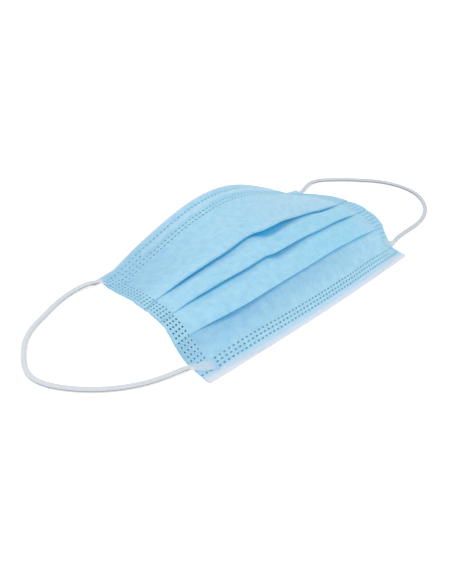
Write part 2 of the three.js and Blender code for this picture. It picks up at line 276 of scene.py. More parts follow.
class Section:
    """One section of the inner face, followed by distance from the front edge."""

    SAMPLES = 240
    STRIDE = 0.02

    def __init__(self, share, neighbours=True):
        self.share = share
        self.corners = bezier_corners(share)
        w = np.linspace(0, 1, self.SAMPLES)
        points = self.bezier(w)
        steps = np.linalg.norm(np.diff(points, axis=0), axis=1)
        self.run = np.concatenate([[0], np.cumsum(steps)])
        self.length = self.run[-1]
        self.w = w
        if neighbours:
            self.before = Section(max(share - self.STRIDE, -1), False)
            self.after = Section(min(share + self.STRIDE, 1), False)

    def bezier(self, w):
        a, b, c, d = self.corners
        w = w[:, None]
        return (1 - w) ** 3 * a + 3 * (1 - w) ** 2 * w * b + 3 * (1 - w) * w * w * c + w ** 3 * d

    def face(self, along):
        """Points of the inner face at shares of the section's length, pressed flat where they are low."""
        along = np.clip(along, 0, 1)
        points = self.bezier(np.interp(along * self.length, self.run, self.w))
        pressed = lerp(PRESSED_MIDDLE, PRESSED_ENDS, abs(self.share) ** END_FORM_POWER)
        points[:, 2] = np.maximum(np.minimum(points[:, 2], points[:, 2] * PRESSED_SLOPE - pressed), 0)
        return points

    def normals(self, distance):
        """Directions straight off the inner face at distances from the front edge."""
        along = np.asarray(distance, float) / self.length
        reach = 1.0 / self.length
        slope = self.face(along + reach) - self.face(along - reach)
        run = self.after.face(along) - self.before.face(along)
        up = np.cross(run, slope)
        return up / np.linalg.norm(up, axis=1)[:, None]

    def place(self, distance, height):
        """Points at distances from the front edge, raised off the inner face."""
        distance = np.asarray(distance, float)
        height = np.broadcast_to(np.asarray(height, float), distance.shape)
        points = self.face(distance / self.length) + self.normals(distance) * height[:, None]
        points[:, 2] = np.maximum(points[:, 2], LOWEST)
        return points


def looseness(section):
    """From 0 where the side welds press the layers together, to 1 where they lie loose."""
    from_end = HALF * (1 - abs(section.share))
    return float(smoothstep(from_end, WELDED_WIDTH, WELDED_WIDTH + LOOSENING))


def pressing(section):
    """How far the welds thin the cloth in a section."""
    return lerp(WELDED_SHARE, 1, looseness(section))


def pleat_in(section, pleat):
    """Lip, fold depth and lift of a pleat in one section. A lip that lifts leans forwards."""
    share = section.share
    nearby = [np.interp(share + offset, LIP_STATIONS, pleat["lip"]) for offset in LIP_SMOOTHING]
    past_kink = share - pleat["kink_at"]
    pulled = math.exp(-(((past_kink - PULL_AT) / PULL_REACH) ** 2))
    drawn_back = pulled * (1 - smoothstep(past_kink, *PULL_ENDS))
    lifted = pleat["lift"] * (1 - smoothstep(abs(share - pleat["lift_at"]), 0, pleat["lift_reach"]))
    closing = 1 - smoothstep(past_kink, OPENING_FALLS, pleat["open_reach"])
    opened = smoothstep(past_kink, *OPENING_RISES) * closing
    lift = (lifted + pleat["open"] * opened) * looseness(section)
    lip = np.mean(nearby) * section.length + pleat["kink_back"] * drawn_back - LIP_LEAN * lift
    return lip, pleat["depth"] * section.length, lift


def front_rows(section):
    """The front edge's rows of welds, which draw in a little towards the corners."""
    return np.array(FRONT_ROWS) * lerp(1, ROWS_DRAWN_IN, smoothstep(abs(section.share), 0.45, 0.9))


def layer_step(section):
    """The height from one folded layer to the next, welded close at the ends and loose between."""
    return lerp(LAYER_STEP_ENDS, LAYER_STEP_MIDDLE, looseness(section))


def stretch(path, distance, height, count, ease=None):
    """Carries a path on to a point in a number of steps, straight or with a given course."""
    from_distance, from_height = path[-1]
    for k in range(1, count + 1):
        t = k / count
        rise = ease(t) if ease else t
        path.append((lerp(from_distance, distance, t), lerp(from_height, height, rise)))


def half_turn(path, distance, height, radius, bulge, count):
    """Half a turn up to the next layer, bulging forwards (-1) or back (1)."""
    for k in range(1, count + 1):
        angle = (k / count - 0.5) * math.pi
        path.append((distance + bulge * radius * math.cos(angle), height + radius * (1 + math.sin(angle))))


def ease_both(t):
    return t * t * (3 - 2 * t)


def cloth_centre(section):
    """The height of the middle between the two plies where the cloth lies in one layer."""
    return (PLY_WALL + PLY_GAP / 2) * pressing(section)


def cloth_path(section, fine=1.0):
    """The folded cloth's middle line through a section, from the front edge to the back edge."""
    def count(steps):
        return max(int(round(steps * fine)), 2)

    step = layer_step(section)
    low = cloth_centre(section)
    high = low + 2 * step
    path = [((PLY_WALL + PLY_GAP) * pressing(section), low)]
    stretch(path, FRONT_ROWS[0] - ROW_MARGIN, low, count(4))
    stretch(path, FRONT_ROWS[-1] + ROW_MARGIN, low, count(20))
    for k, pleat in enumerate(PLEATS):
        lip, depth, lift = pleat_in(section, pleat)
        if k == 0:
            stretch(path, lip - 1.0, low, count(10))
        stretch(path, lip + depth - step / 2, low, count(5))
        half_turn(path, lip + depth - step / 2, low, step / 2, 1, count(8))
        stretch(path, lip + step / 2, low + step + lift, count(8), ease=lambda t: t * t)
        half_turn(path, lip + step / 2, low + step + lift, step / 2, -1, count(10))
        stretch(path, lip + depth, high + lift * LIFT_BEHIND, count(9), ease=lambda t: 1 - (1 - t) ** 2)
        if k + 1 < len(PLEATS):
            ahead, _, _ = pleat_in(section, PLEATS[k + 1])
            stretch(path, ahead - 0.6, low, count(10), ease=ease_both)
        else:
            stretch(path, lip + depth + SETTLING_RUN, low, count(12), ease=ease_both)
    length = section.length
    stretch(path, length - BACK_INNER_ROWS[-1] - ROW_MARGIN, low, count(8))
    stretch(path, length - BACK_OUTER_ROW + 1.4, low, count(26))
    stretch(path, length - (PLY_WALL + PLY_GAP) * pressing(section), low, count(3))
    return np.array(path)


def relief(section, distance):
    """Height added to the cloth by the wire's ridge and taken away along the rows of welds."""
    length = section.length
    from_end = WIRE_LENGTH / 2 - abs(section.share) * HALF
    ridge = WIRE_THICKNESS * smoothstep(from_end, -6, 2)
    side = np.abs(distance - (length - WIRE_INSET))
    added = ridge * (1 - smoothstep(side, WIRE_WIDTH / 2, WIRE_WIDTH / 2 + RIDGE_SLOPE))
    rows = list(front_rows(section)) + [length - BACK_OUTER_ROW] + [length - r for r in BACK_INNER_ROWS]
    for row in rows:
        added = added - GROOVE_DEPTH * np.exp(-(((distance - row) / GROOVE_WIDTH) ** 2))
    return added


def undulation(section, distance):
    """The cloth's own soft unevenness, and the puckers beside the side welds."""
    x = section.share * HALF
    soft = sum(high * np.sin(x * along + distance * across + phase) for high, along, across, phase in WAVES)
    along, across = CROSSED_WAVE["along"], CROSSED_WAVE["across"]
    crossed = np.sin(x * along[0] + along[1]) * np.sin(distance * across[0] + across[1])
    soft = soft + CROSSED_WAVE["height"] * crossed
    from_weld = HALF - abs(x) - WELDED_WIDTH
    pucker = np.exp(-((from_weld - PUCKER["from_weld"]) / PUCKER["reach"]) ** 2)
    phase = PUCKER["phase"] if x > 0 else 0
    soft = soft + PUCKER["height"] * pucker * np.sin(distance * 2 * math.pi / PUCKER["pitch"] + phase)
    settle = smoothstep(distance, *SETTLED_EDGE) * smoothstep(section.length - distance, *SETTLED_EDGE)
    return soft * settle


def offset_path(path, offset):
    """A path moved sideways by a distance, towards the cloth's outer side when positive."""
    run = np.gradient(path, axis=0)
    run /= np.linalg.norm(run, axis=1)[:, None]
    return path + np.stack([-run[:, 1], run[:, 0]], axis=1) * offset


def round_corner(section, points, distances):
    """Draws the points next to a corner in to a small arc."""
    from_side = HALF * (1 - abs(section.share))
    from_edge = np.minimum(distances, section.length - distances)
    if from_side >= CORNER_RADIUS:
        return points
    reach = np.clip(CORNER_RADIUS - from_edge, 0, CORNER_RADIUS)
    inset = CORNER_RADIUS - np.sqrt(CORNER_RADIUS ** 2 - reach ** 2)
    points[:, 0] -= np.sign(section.share) * inset * (1 - from_side / CORNER_RADIUS)
    return points


def dressed(section, path, offset):
    """The points in space of one face of a ply."""
    moved = offset_path(path, offset * pressing(section))
    height = moved[:, 1] + relief(section, moved[:, 0]) + undulation(section, moved[:, 0])
    return round_corner(section, section.place(moved[:, 0], height), moved[:, 0])


# Meshes

def to_frame(points):
    """Millimetres from the front edge, to metres in the frame."""
    return (np.asarray(points, float) + FRAME_SHIFT) * MM


def make_object(name, points, faces, uvs=None, face_slots=None, **attributes):
    mesh = bpy.data.meshes.new(name)
    mesh.from_pydata([tuple(p) for p in points], [], [tuple(f) for f in faces])
    mesh.update()
    if uvs is not None:
        layer = mesh.uv_layers.new(name="cloth_mm")
        loops = np.zeros(len(mesh.loops), int)
        mesh.loops.foreach_get("vertex_index", loops)
        layer.data.foreach_set("uv", np.asarray(uvs, float)[loops].ravel())
    for attribute, values in attributes.items():
        layer = mesh.attributes.new(attribute, "FLOAT", "POINT")
        layer.data.foreach_set("value", np.asarray(values, float))
    mesh.polygons.foreach_set("use_smooth", [True] * len(mesh.polygons))
    obj = bpy.data.objects.new(name, mesh)
    bpy.context.scene.collection.objects.link(obj)
    if face_slots is not None:
        mesh.polygons.foreach_set("material_index", face_slots)
    return obj


def wall(name, top, bottom, top_uv, **attributes):
    """A closed wall between two grids of points, joined round its rim."""
    rows, columns = top.shape[:2]
    points = np.concatenate([top.reshape(-1, 3), bottom.reshape(-1, 3)])
    uvs = np.concatenate([top_uv.reshape(-1, 2), top_uv.reshape(-1, 2)])
    both_sides = {key: np.tile(np.asarray(values).ravel(), 2) for key, values in attributes.items()}
    index = np.arange(rows * columns).reshape(rows, columns)
    low = index + rows * columns

    def quads(a, b, c, d):
        return np.stack([a.ravel(), b.ravel(), c.ravel(), d.ravel()], axis=1)

    faces = [
        quads(index[:-1, :-1], index[1:, :-1], index[1:, 1:], index[:-1, 1:]),
        quads(low[:-1, :-1], low[:-1, 1:], low[1:, 1:], low[1:, :-1]),
        quads(index[:-1, 0], low[:-1, 0], low[1:, 0], index[1:, 0]),
        quads(index[1:, -1], low[1:, -1], low[:-1, -1], index[:-1, -1]),
        quads(index[0, 1:], low[0, 1:], low[0, :-1], index[0, :-1]),
        quads(index[-1, :-1], low[-1, :-1], low[-1, 1:], index[-1, 1:]),
    ]
    return make_object(name, to_frame(points), np.concatenate(faces), uvs, **both_sides)


def station_shares(count):
    widest = STATION_CROWDING * math.pi / 2
    return np.sin(np.linspace(-1, 1, count) * widest) / math.sin(widest)


def outer_paleness(section, path):
    """The blue cloth shows paler at the hems, and along the wire's ridge, partly the wire showing through and
    partly a painted highlight.
    """
    from_back = section.length - path[:, 0]
    front = 1 - smoothstep(path[:, 0], *PALE_FRONT)
    back = PALE_BACK_MOST * (1 - smoothstep(from_back, *PALE_BACK))
    over_wire = 1 - smoothstep(np.abs(from_back - WIRE_INSET), *PALE_WIRE_AND_HIGHLIGHT)
    from_end = WIRE_LENGTH / 2 - abs(section.share) * HALF
    return np.maximum(np.maximum(front, back), WIRE_PALENESS_AND_HIGHLIGHT * over_wire * smoothstep(from_end, -4, 2))


def inner_paleness(section, path):
    """The white hem takes some blue from the cloth under it, up to its own edge."""
    from_back = section.length - path[:, 0]
    on_top = path[:, 1] > cloth_centre(section) + 0.02
    front = smoothstep(path[:, 0], HEM_TINT_FRONT, FRONT_HEM_WIDTH)
    back = smoothstep(from_back, HEM_TINT_BACK, BACK_HEM_WIDTH)
    near_front = path[:, 0] < section.length / 2
    return np.where(near_front, front, back) * on_top


def painted_fold_shade(section, path):
    """Painted shade: a deeper blue where the cloth lies under a lip and a little in front of it, and a
    painted tint of bounced light on the panels between the lips.
    """
    shade = np.zeros(len(path))
    for pleat in PLEATS:
        lip, depth, _ = pleat_in(section, pleat)
        folded = np.argmax(path[:, 0] >= lip + 0.85 * depth)
        front = folded + np.argmin(path[folded:, 0])
        near = smoothstep(path[:front, 0], lip - PAINTED_FOLD_SHADE_REACH, lip + 0.2)
        shade[:front] = np.maximum(shade[:front], near)
    first, last = (pleat_in(section, PLEATS[k])[0] for k in (0, -1))
    between = (path[:, 0] > first) & (path[:, 0] < last)
    panels = lerp(*PAINTED_PANEL_BOUNCE, smoothstep(section.share, *PAINTED_PANEL_BOUNCE_RISES))
    shade = np.maximum(shade, between * panels)
    return shade * looseness(section)


def painted_dimness(section, path):
    """Painted grey shade on the cloth: below the lowest lip, above the highest and at its cut ends."""
    share, distance = section.share, path[:, 0]
    lowest, highest = (pleat_in(section, PLEATS[k])[0] for k in (0, -1))
    below = (distance < lowest) * (1 - smoothstep(lowest - distance, *PAINTED_DIM_BELOW["distance"]))
    below = below * (1 - smoothstep(share, *PAINTED_DIM_BELOW["share"]))
    above = smoothstep(distance - highest, *PAINTED_DIM_ABOVE["distance"])
    above = above * (1 - smoothstep(share, *PAINTED_DIM_ABOVE["share"]))
    cut = smoothstep(abs(share), *PAINTED_DIM_AT_CUT["share"])
    return np.clip(PAINTED_DIM_BELOW["most"] * below + PAINTED_DIM_ABOVE["most"] * above + PAINTED_DIM_AT_CUT["most"] * cut, 0, 1)


def ply(name, shares, path_of, outer_offset, inner_offset, paleness):
    """A ply of the folded cloth as a closed wall."""
    tops, bottoms, coords, tints, folds, painted_dims = [], [], [], [], [], []
    for share in shares:
        section = Section(share)
        path = path_of(section)
        tops.append(dressed(section, path, outer_offset))
        bottoms.append(dressed(section, path, inner_offset))
        run = np.concatenate([[0], np.cumsum(np.linalg.norm(np.diff(path, axis=0), axis=1))])
        coords.append(np.stack([np.full(len(run), share * HALF), run], axis=1))
        tints.append(paleness(section, path))
        # Painted shade: a deeper blue at the lips and bounced light between them, then painted grey shade in
        # places
        folds.append(painted_fold_shade(section, path))
        painted_dims.append(painted_dimness(section, path))
    return wall(name, np.array(tops), np.array(bottoms), np.array(coords), tint=tints, fold=folds, dim=painted_dims)


def inner_path(section):
    """The white ply's middle line: a hem over each long edge, and the cloth's folds between."""
    press = pressing(section)
    centre = cloth_centre(section)
    cloth = offset_path(cloth_path(section, 0.6), -(PLY_WALL + PLY_GAP) / 2 * press)
    low = centre - (PLY_WALL + PLY_GAP) / 2 * press
    hem_height = centre + (PLY_WALL * 1.5 + PLY_GAP) * press
    radius = (hem_height - low) / 2
    turn = [
        (radius - radius * math.sin(angle), low + radius * (1 + math.cos(angle)))
        for angle in np.linspace(0, math.pi, 9)
    ]
    flush = hem_height - (PLY_WALL - HEM_EDGE) * press

    def hem(width, count):
        """The hem's upper layer from the edge inward, fused flush at its cut end."""
        along = np.linspace(0, 1, count + 1)[1:]
        heights = lerp(hem_height, flush, smoothstep(along, 0.35, 1))
        return [(lerp(radius, width, t), h) for t, h in zip(along, heights)]

    front = hem(FRONT_HEM_WIDTH, 10)[::-1] + turn
    back = [(section.length - d, h) for d, h in turn[::-1] + hem(BACK_HEM_WIDTH, 6)]
    kept = cloth[(cloth[:, 0] > radius + 0.15) & (cloth[:, 0] < section.length - radius - 0.15)]
    return np.array(front + [tuple(p) for p in kept] + back)


# Materials

def new_material(name):
    material = bpy.data.materials.new(name)
    material.use_nodes = True
    tree = material.node_tree
    tree.nodes.clear()
    output = tree.nodes.new("ShaderNodeOutputMaterial")
    shader = tree.nodes.new("ShaderNodeBsdfPrincipled")
    tree.links.new(shader.outputs["BSDF"], output.inputs["Surface"])
    return material, tree, shader


def node(tree, kind, **settings):
    made = tree.nodes.new(kind)
    for key, value in settings.items():
        if key.startswith("in_"):
            made.inputs[key[3:].replace("_", " ")].default_value = value
        else:
            setattr(made, key, value)
    return made


def mixed(tree, factor, first, second, blend_type="MIX"):
    """A mix of two colours, each given as numbers or as another node's output."""
    mix = node(tree, "ShaderNodeMix", data_type="RGBA", blend_type=blend_type)
    tree.links.new(factor, mix.inputs["Factor"])
    for key, colour in (("A", first), ("B", second)):
        if isinstance(colour, tuple):
            mix.inputs[key].default_value = (*colour, 1)
        else:
            tree.links.new(colour, mix.inputs[key])
    return mix.outputs["Result"]


def point_value(tree, name):
    return node(tree, "ShaderNodeAttribute", attribute_name=name).outputs["Fac"]


def nonwoven(name, colour, darker, pale, deep):
    """Nonwoven cloth: small bonded points in a diagonal grid between fine loose fibres."""
    material, tree, shader = new_material(name)
    link = tree.links.new
    uv = node(tree, "ShaderNodeUVMap", uv_map="cloth_mm")
    turn = node(tree, "ShaderNodeMapping")
    turn.inputs["Rotation"].default_value = (0, 0, math.radians(45))
    link(uv.outputs["UV"], turn.inputs["Vector"])
    cells = node(tree, "ShaderNodeTexVoronoi", feature="F1", in_Scale=1.0, in_Randomness=0.15)
    link(turn.outputs["Vector"], cells.inputs["Vector"])
    points = node(tree, "ShaderNodeMapRange", in_From_Min=0.12, in_From_Max=0.36)
    link(cells.outputs["Distance"], points.inputs["Value"])
    fibres = node(tree, "ShaderNodeTexNoise", in_Scale=2.6, in_Detail=8.0, in_Roughness=0.72)
    link(uv.outputs["UV"], fibres.inputs["Vector"])
    cloudy = node(tree, "ShaderNodeTexNoise", in_Scale=0.22, in_Detail=6.0, in_Roughness=0.74)
    link(uv.outputs["UV"], cloudy.inputs["Vector"])
    clouds = node(tree, "ShaderNodeMapRange", in_From_Min=0.32, in_From_Max=0.68)
    link(cloudy.outputs["Fac"], clouds.inputs["Value"])
    amount = node(tree, "ShaderNodeMath", operation="MULTIPLY_ADD")
    amount.inputs[1].default_value = 0.6
    link(clouds.outputs["Result"], amount.inputs[0])
    half = node(tree, "ShaderNodeMath", operation="MULTIPLY")
    half.inputs[1].default_value = 0.4
    link(points.outputs["Result"], half.inputs[0])
    link(half.outputs["Value"], amount.inputs[2])
    tone = mixed(tree, amount.outputs["Value"], darker, colour)
    tone = mixed(tree, point_value(tree, "tint"), tone, pale)
    # The fold and dim attributes paint shade: a deeper blue at the lips with bounced light between them, and
    # grey shade
    tone = mixed(tree, point_value(tree, "fold"), tone, deep)
    tone = mixed(tree, point_value(tree, "dim"), tone, PAINTED_DIM_GREY, blend_type="MULTIPLY")
    link(tone, shader.inputs["Base Color"])
    relief_sum = node(tree, "ShaderNodeMath", operation="MULTIPLY_ADD")
    relief_sum.inputs[1].default_value = 0.6
    link(fibres.outputs["Fac"], relief_sum.inputs[0])
    link(points.outputs["Result"], relief_sum.inputs[2])
    bump = node(tree, "ShaderNodeBump", in_Strength=0.35, in_Distance=0.00008)
    link(relief_sum.outputs["Value"], bump.inputs["Height"])
    link(bump.outputs["Normal"], shader.inputs["Normal"])
    shader.inputs["Roughness"].default_value = 0.82
    shader.inputs["Sheen Weight"].default_value = 0.25
    shader.inputs["Sheen Roughness"].default_value = 0.5
    shader.inputs["Specular IOR Level"].default_value = 0.25
    shader.inputs["Subsurface Weight"].default_value = 0.25
    shader.inputs["Subsurface Radius"].default_value = (0.0006, 0.0010, 0.0014)
    return material


def plain_cloth(name, colour, roughness, tint=None, shine=0.5):
    """A finely grained surface, which may turn to a second colour where its tint says so."""
    material, tree, shader = new_material(name)
    link = tree.links.new
    place = node(tree, "ShaderNodeTexCoord")
    grain = node(tree, "ShaderNodeTexNoise", in_Scale=1800.0, in_Detail=5.0)
    link(place.outputs["Object"], grain.inputs["Vector"])
    tone = mixed(tree, grain.outputs["Fac"], tuple(GRAIN_DARKNESS * c for c in colour), colour)
    if tint:
        tone = mixed(tree, point_value(tree, "tint"), tone, tint)
    link(tone, shader.inputs["Base Color"])
    bump = node(tree, "ShaderNodeBump", in_Strength=0.25, in_Distance=0.0001)
    link(grain.outputs["Fac"], bump.inputs["Height"])
    link(bump.outputs["Normal"], shader.inputs["Normal"])
    shader.inputs["Roughness"].default_value = roughness
    shader.inputs["Specular IOR Level"].default_value = shine
    return material


GRAIN_DARKNESS = 0.86
# The grey multiplied into the cloth as painted shade
PAINTED_DIM_GREY = (0.74, 0.80, 0.86)
BLUE = (0.48, 0.79, 0.95)
BLUE_DARK = (0.25, 0.57, 0.84)
# A deeper blue painted as shade and bounced light at the lips
BLUE_PAINTED_FOLD_SHADE = (0.12, 0.71, 0.99)
BLUE_PALE = (0.60, 0.77, 0.93)
BLUE_PUFFED = (0.41, 0.74, 0.91)
WHITE = (0.82, 0.85, 0.91)
WHITE_DARK = (0.74, 0.78, 0.86)
# A deeper white painted as shade at the lips
WHITE_PAINTED_FOLD_SHADE = (0.66, 0.72, 0.82)
WELD_PALE = (0.30, 0.57, 0.85)
WELD_DARK = (0.010, 0.055, 0.18)
ELASTIC = (0.78, 0.83, 0.88)
# The grey painted as shade on the cord's underside and grooves
ELASTIC_PAINTED_SHADE = (0.15, 0.17, 0.20)
ELASTIC_WELDED = (0.38, 0.66, 0.88)
WIRE_WHITE = (0.78, 0.80, 0.80)

blue_cloth = nonwoven("blue_nonwoven", BLUE, BLUE_DARK, BLUE_PALE, BLUE_PAINTED_FOLD_SHADE)
white_cloth = nonwoven("white_nonwoven", WHITE, WHITE_DARK, BLUE_PALE, WHITE_PAINTED_FOLD_SHADE)
puffed_cloth = plain_cloth("puffed_nonwoven", BLUE_PUFFED, 0.85)
weld_film = plain_cloth("weld_film", WELD_PALE, 0.5, tint=WELD_DARK, shine=0.2)
# The cord's tint is its painted shade
elastic = plain_cloth("knitted_elastic", ELASTIC, 0.8, tint=ELASTIC_PAINTED_SHADE)
welded_elastic = plain_cloth("welded_elastic", ELASTIC, 0.8, tint=ELASTIC_WELDED)
wire_coating = plain_cloth("wire_coating", WIRE_WHITE, 0.45)


# Weld marks

def exposed(section, distances, path):
    """The height of the uppermost layer of the cloth's outer face at distances along a section."""
    face = offset_path(path, (PLY_GAP / 2 + PLY_WALL) * pressing(section))
    distances = np.asarray(distances, float)
    heights = np.full(len(distances), -1.0)
    low = np.minimum(face[:-1, 0], face[1:, 0])
    high = np.maximum(face[:-1, 0], face[1:, 0])
    for k, distance in enumerate(distances):
        for c in np.nonzero((low <= distance) & (high >= distance))[0]:
            (d0, h0), (d1, h1) = face[c], face[c + 1]
            t = (distance - d0) / (d1 - d0) if d1 != d0 else 0.5
            heights[k] = max(heights[k], lerp(h0, h1, t))
    return heights + relief(section, distances) + undulation(section, distances)


class Ground:
    """The finished plies, felt from outside along the mask's normals."""

    REACH = 5.0
    TRUSTED = 2.0

    def __init__(self, *plies):
        self.trees = []
        for piece in plies:
            corners = [v.co.copy() for v in piece.data.vertices]
            self.trees.append(BVHTree.FromPolygons(corners, [tuple(p.vertices) for p in piece.data.polygons]))

    def rise(self, point, normal):
        """How far above a point, in millimetres, the plies' outer surface lies."""
        start = Vector(to_frame(point + normal * self.REACH))
        found = []
        for tree in self.trees:
            spot = tree.ray_cast(start, -Vector(normal), 2 * self.REACH * MM)[0]
            if spot is not None:
                found.append(self.REACH - (spot - start).length / MM)
        best = max(found, default=0.0)
        return best if abs(best) < self.TRUSTED else 0.0


# Rings of a weld mark from outside in: how far each lies outside the mark's edge, and its rise
MARK_RIM = ((0.5, -0.03), (0.34, 0.09), (0.14, 0.12), (0.0, 0.015), (-0.2, 0.008))
MARK_SIDES = 12
CLOTH_RINGS = 3


class MarkBuilder:
    """Gathers all weld marks into a single mesh."""

    def __init__(self, ground):
        self.ground = ground
        self.points, self.faces, self.slots, self.uvs, self.burns = [], [], [], [], []

    def add(self, centre, along, across, normal, size, uv, burn):
        start = len(self.points)
        angles = 2 * math.pi * np.arange(MARK_SIDES) / MARK_SIDES
        for grow, rise in MARK_RIM:
            for angle in angles:
                u = (size[0] / 2 + grow) * math.cos(angle)
                v = (size[1] / 2 + grow) * math.sin(angle)
                base = centre + along * u + across * v
                self.points.append(base + normal * (self.ground.rise(base, normal) + rise))
                self.uvs.append((uv[0] + u, uv[1] + v))
        self.points.append(centre + normal * (self.ground.rise(centre, normal) + MARK_RIM[-1][1]))
        self.uvs.append(uv)
        self.burns += [burn] * (len(MARK_RIM) * MARK_SIDES + 1)
        last_ring = len(MARK_RIM) - 1
        for ring in range(last_ring):
            for k in range(MARK_SIDES):
                a = start + ring * MARK_SIDES + k
                b = start + ring * MARK_SIDES + (k + 1) % MARK_SIDES
                self.faces.append((a, b, b + MARK_SIDES, a + MARK_SIDES))
                self.slots.append(0 if ring < CLOTH_RINGS else 1)
        last = start + last_ring * MARK_SIDES
        for k in range(MARK_SIDES):
            self.faces.append((last + k, last + (k + 1) % MARK_SIDES, len(self.points) - 1))
            self.slots.append(1)

    def build(self, name, materials):
        obj = make_object(name, to_frame(self.points), self.faces, self.uvs, self.slots, tint=self.burns)
        for material in materials:
            obj.data.materials.append(material)
        return obj


def add_marks(builder, share, distances, size, burns):
    """Marks at distances along one section, as wide along the mask as size says first."""
    section = Section(share)
    heights = exposed(section, distances, cloth_path(section))
    centres = section.place(distances, heights)
    ahead = section.place(distances + 0.4, heights)
    ups = section.normals(distances)
    for centre, forward_point, up, distance, burn in zip(centres, ahead, ups, distances, burns):
        forward = forward_point - centre
        forward /= np.linalg.norm(forward)
        sideways = np.cross(forward, up)
        sideways /= np.linalg.norm(sideways)
        builder.add(centre, sideways, np.cross(up, sideways), up, size, (share * HALF, distance), burn)


def under_loop_end(side, from_side, distances, length):
    """Which of the distances lie under the welded end of a loop, where the welds don't go through it."""
    covered = np.zeros(len(distances), bool)
    for end in LOOP_ENDS:
        if end["side"] == side and not end["stamped"] and from_side < end["run"] + 0.5:
            inset = end["inset"] + end["slant"] * from_side
            middle = inset if end["at_front"] else length - inset
            covered |= np.abs(distances - middle) < WELD_WIDTH / 2 * math.hypot(1, end["slant"])
    return covered


def side_burns(share, distances, chance):
    """How dark the side welds are: they bite deepest where the pleats' layers lie under them."""
    lightest, darkest = SIDE_BURN["left" if share < 0 else "right"]
    layers = np.exp(-(((distances - LAYERS_AT) / LAYERS_REACH) ** 2))
    spread = chance.uniform(-SIDE_CHANCE, SIDE_CHANCE, len(distances))
    return np.clip(lerp(lightest, darkest, layers) + spread, 0, 1)


def row_burns(share, rows, length, chance):
    """How dark the rows' welds are: each long edge's fade towards the right."""
    front = lerp(*FRONT_BURN, smoothstep(share, 0.3, 0.95))
    back = lerp(*BACK_BURN, smoothstep(share, -0.6, 0.5))
    spread = chance.uniform(-ROW_CHANCE, ROW_CHANCE, len(rows))
    return np.clip(np.where(rows < length / 2, front, back) + spread, 0, 1)


def make_marks(ground):
    """The grid of weld points at both side edges, and the rows of dashes along both long edges."""
    builder = MarkBuilder(ground)
    chance = np.random.default_rng(7)
    for side in (-1, 1):
        for column in SIDE_COLUMNS:
            share = side * (1 - column / HALF)
            length = Section(share, False).length
            distances = np.arange(SIDE_START + SIDE_PITCH, length - SIDE_STOP, SIDE_PITCH)
            distances = distances[~under_loop_end(side, column, distances, length)]
            add_marks(builder, share, distances, DOT_SIZE, side_burns(share, distances, chance))
    reach = HALF - ROW_MARGIN
    for x in np.arange(-reach, reach + 0.1, ROW_PITCH):
        share = x / HALF
        from_side = HALF - abs(x)
        section = Section(share, False)
        front = front_rows(section)
        rows = [front[0], section.length - BACK_OUTER_ROW]
        if from_side > SIDE_COLUMNS[-1] + 1.4:
            rows += list(front[1:]) + [section.length - row for row in BACK_INNER_ROWS]
            if abs(x) > WIRE_LENGTH / 2 + 1:
                rows.append(section.length - BACK_SHORT_ROW)
        rows = np.array(rows)
        rows = rows[~under_loop_end(np.sign(x), from_side, rows, section.length)]
        add_marks(builder, share, rows, DASH_SIZE, row_burns(share, rows, section.length, chance))
    return builder.build("weld_marks", (puffed_cloth, weld_film))


# Ear loops

def weld_station(end, reach):
    """The section and the middle of a welded end, at a distance out from the mask's middle."""
    inward = HALF - reach
    section = Section(end["side"] * min(reach / HALF, 1))
    inset = end["inset"] + end["slant"] * max(inward, 0)
    outward = max(-inward, 0)
    middle = (inset if end["at_front"] else section.length - inset) + end["lead"] * outward
    return section, middle, end["side"] * outward


def weld_end(end, ground):
    """The flattened stretch of cord that is welded to the mask, with fine ribs across it."""
    stations, across_count = WELD_GRID
    tops, bottoms, coords, shades = [], [], [], []
    v = -np.cos(np.linspace(0, math.pi, across_count))
    out = np.linspace(HALF - end["run"], HALF + WELD_OVERHANG, stations)
    for reach in out[::end["side"]]:
        t = (reach - out[0]) / (out[-1] - out[0])
        section, middle, beyond = weld_station(end, reach)
        roundness = smoothstep(t, *END_ROUNDS)
        flat_width = WELD_WIDTH * lerp(0.86, 1, smoothstep(t, *TIP_WIDENS))
        flat_thickness = WELD_THICKNESS * lerp(0.35, 1, smoothstep(t, *TIP_THICKENS))
        width = lerp(flat_width, CORD_WIDTH, smoothstep(t, *END_NARROWS))
        half = lerp(flat_thickness, CORD_THICKNESS, roundness) / 2
        power = lerp(5, 2, roundness)
        profile = (1 - np.abs(v) ** power) ** (1 / power)
        distances = middle + v * width / 2 * math.hypot(1, end["slant"])
        bases = section.place(distances, 0.6)
        ups = section.normals(distances)
        rises = np.array([ground.rise(base, up) for base, up in zip(bases, ups)]) + 0.6
        centre_rise = rises[across_count // 2]
        lying = lerp(rises, centre_rise, roundness) + half + 0.02
        rib = RIB_HEIGHT * math.cos(2 * math.pi * reach / RIB_PITCH) * (1 - smoothstep(t, *RIBS_FADE))
        high = section.place(distances, lying + (half + rib) * profile)
        low = section.place(distances, lying - half * profile)
        high[:, 0] += beyond
        low[:, 0] += beyond
        tops.append(high)
        bottoms.append(low)
        coords.append(np.stack([np.full(across_count, reach), distances], axis=1))
        edge_blue = end["blue"] * smoothstep(out[-1] - reach, 1.5, 5.0)
        to_tip = smoothstep(HALF - reach, 0.6 * end["run"], end["run"])
        shades.append(np.full(across_count, lerp(edge_blue, 1, to_tip)))
    obj = wall(end["node"] + "_flat", np.array(tops), np.array(bottoms), np.array(coords), tint=shades)
    obj.data.materials.append(welded_elastic)
    return obj


def weld_exit(side, at_front):
    """The centre of the welded end's outer face, where the cord leaves it, and its direction."""
    end = next(e for e in LOOP_ENDS if e["side"] == side and e["at_front"] == at_front)
    section, middle, beyond = weld_station(end, HALF + WELD_OVERHANG - 0.3)
    height = exposed(section, [middle], cloth_path(section))[0]
    point = section.place([middle], [height + CORD_THICKNESS / 2])[0]
    point[0] += beyond
    direction = np.array([side, end["lead"], 0.0])
    return point, direction / np.linalg.norm(direction)


